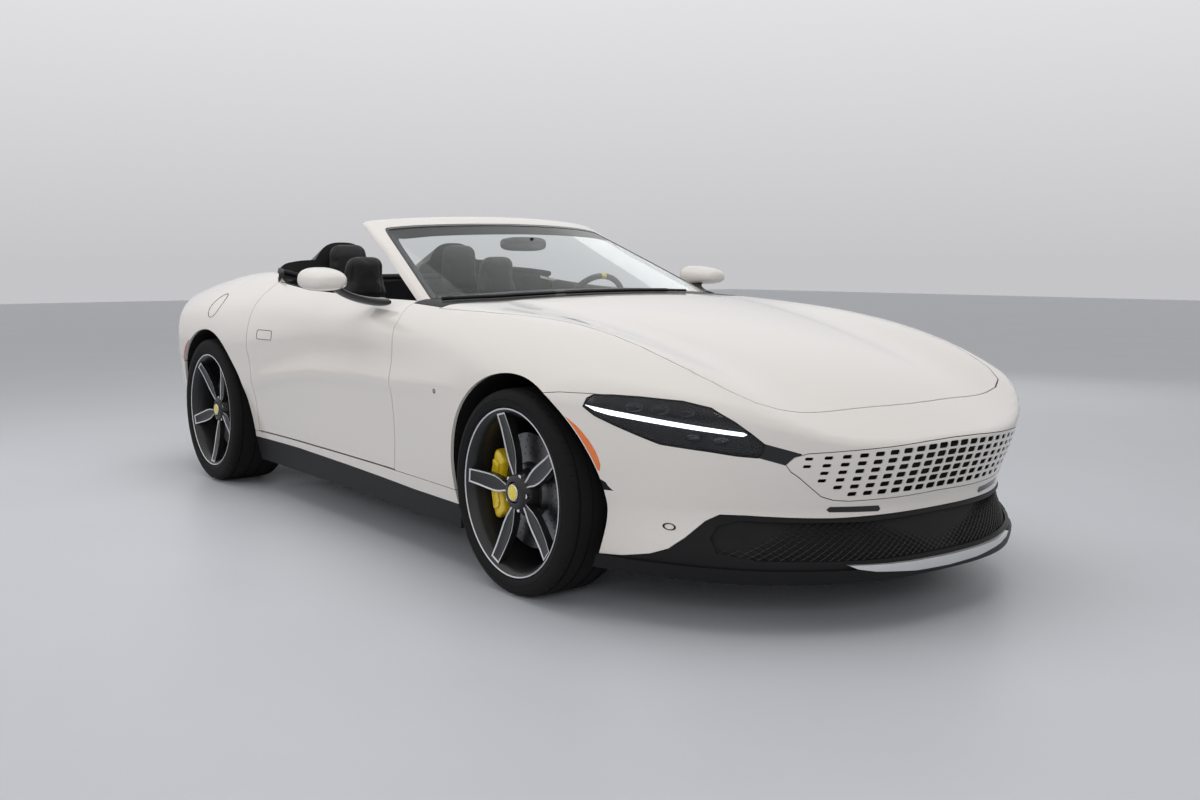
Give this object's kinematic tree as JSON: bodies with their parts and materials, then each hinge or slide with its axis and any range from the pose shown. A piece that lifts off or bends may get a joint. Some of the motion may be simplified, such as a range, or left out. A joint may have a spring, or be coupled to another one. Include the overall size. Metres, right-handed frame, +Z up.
{
  "type": "open roadster car",
  "caption": "Open front-engined roadster with doors, bonnet, boot lid and tonneau that open, steered front wheels and free-turning road wheels.",
  "frame": {"origin": "on the ground, below the middle of the car's length and width", "axes": "+X forward, +Y to the car's left, +Z up"},
  "size_m": [4.6544, 2.1932, 1.291],
  "materials": {
    "alloy": "cast",
    "black_trim": "satin",
    "caliper": "gloss",
    "disc": "ground",
    "engine": "cast",
    "glass": "clear",
    "lamp": "clear",
    "leather": "satin",
    "paint": "satin pearl",
    "rim": "satin black",
    "structure": "matt",
    "tail_lamp": "clear",
    "tyre": "matt"
  },
  "bodies": {
    "body": {"body_shell": "structure", "front_fenders": "paint", "front_bumper": "paint", "grille": "paint", "lower_grille": "black_trim", "headlamps": "lamp", "splitter": "black_trim", "cowl": "paint", "side_skirts": "black_trim", "rear_quarters": "paint", "rear_bumper": "paint", "tail_lamps": "tail_lamp", "diffuser": "black_trim", "windscreen_frame": "paint", "windscreen": "glass", "dashboard": "leather", "console": "leather", "seats": "leather", "rear_seat": "leather", "suspension": "alloy", "rear_calipers": "caliper", "engine": "engine", "radiator": "structure", "tailpipes": "alloy", "interior_mirror": "black_trim", "lid_hinges": "structure"},
    "bonnet": {"bonnet": "paint"},
    "boot_lid": {"boot_lid": "paint"},
    "tonneau": {"tonneau": "paint"},
    "door_left": {"door_left": "paint", "mirror_left": "paint"},
    "door_right": {"door_right": "paint", "mirror_right": "paint"},
    "steering_wheel": {"steering_wheel": "leather"},
    "knuckle_left": {"knuckle_left": "alloy", "caliper_left": "caliper"},
    "knuckle_right": {"knuckle_right": "alloy", "caliper_right": "caliper"},
    "wheel_front_left": {"tyre_front_left": "tyre", "rim_front_left": "rim", "disc_front_left": "disc"},
    "wheel_front_right": {"tyre_front_right": "tyre", "rim_front_right": "rim", "disc_front_right": "disc"},
    "wheel_rear_left": {"tyre_rear_left": "tyre", "rim_rear_left": "rim", "disc_rear_left": "disc"},
    "wheel_rear_right": {"tyre_rear_right": "tyre", "rim_rear_right": "rim", "disc_rear_right": "disc"}
  },
  "joints": [
    {"name": "steering_left", "type": "hinge", "parent": "body", "child": "knuckle_left", "pos_m": [1.318, 0.796, 0.34], "axis": [0, 0, 1], "range_deg": [-32, 32]},
    {"name": "steering_right", "type": "hinge", "parent": "body", "child": "knuckle_right", "pos_m": [1.318, -0.796, 0.34], "axis": [0, 0, 1], "range_deg": [-32, 32]},
    {"name": "steering_wheel_turn", "type": "hinge", "parent": "body", "child": "steering_wheel", "pos_m": [0.03, 0.38, 0.862], "axis": [-0.9272, 0, 0.3746], "range_deg": [-416, 416]},
    {"name": "spin_front_left", "type": "hinge", "parent": "knuckle_left", "child": "wheel_front_left", "pos_m": [1.318, 0.826, 0.34], "axis": [0, 1, 0], "continuous": true},
    {"name": "spin_front_right", "type": "hinge", "parent": "knuckle_right", "child": "wheel_front_right", "pos_m": [1.318, -0.826, 0.34], "axis": [0, 1, 0], "continuous": true},
    {"name": "spin_rear_left", "type": "hinge", "parent": "body", "child": "wheel_rear_left", "pos_m": [-1.352, 0.8395, 0.354], "axis": [0, 1, 0], "continuous": true},
    {"name": "spin_rear_right", "type": "hinge", "parent": "body", "child": "wheel_rear_right", "pos_m": [-1.352, -0.8395, 0.354], "axis": [0, 1, 0], "continuous": true},
    {"name": "door_left_hinge", "type": "hinge", "parent": "body", "child": "door_left", "pos_m": [0.381, 0.911, 0.655], "axis": [0, 0, -1], "range_deg": [0, 60]},
    {"name": "door_right_hinge", "type": "hinge", "parent": "body", "child": "door_right", "pos_m": [0.381, -0.911, 0.655], "axis": [0, 0, 1], "range_deg": [0, 60]},
    {"name": "bonnet_hinge", "type": "hinge", "parent": "body", "child": "bonnet", "pos_m": [2.06, 0, 0.645], "axis": [0, 1, 0], "range_deg": [0, 50]},
    {"name": "boot_lid_hinge", "type": "hinge", "parent": "body", "child": "boot_lid", "pos_m": [-1.846, 0, 0.912], "axis": [0, 1, 0], "range_deg": [0, 60]},
    {"name": "tonneau_hinge", "type": "hinge", "parent": "body", "child": "tonneau", "pos_m": [-1.61, 0, 0.936], "axis": [0, -1, 0], "range_deg": [0, 45]}
  ],
  "couplings": [
    {"joint": "steering_right", "follows": "steering_left", "ratio": 1},
    {"joint": "steering_wheel_turn", "follows": "steering_left", "ratio": 13}
  ]
}
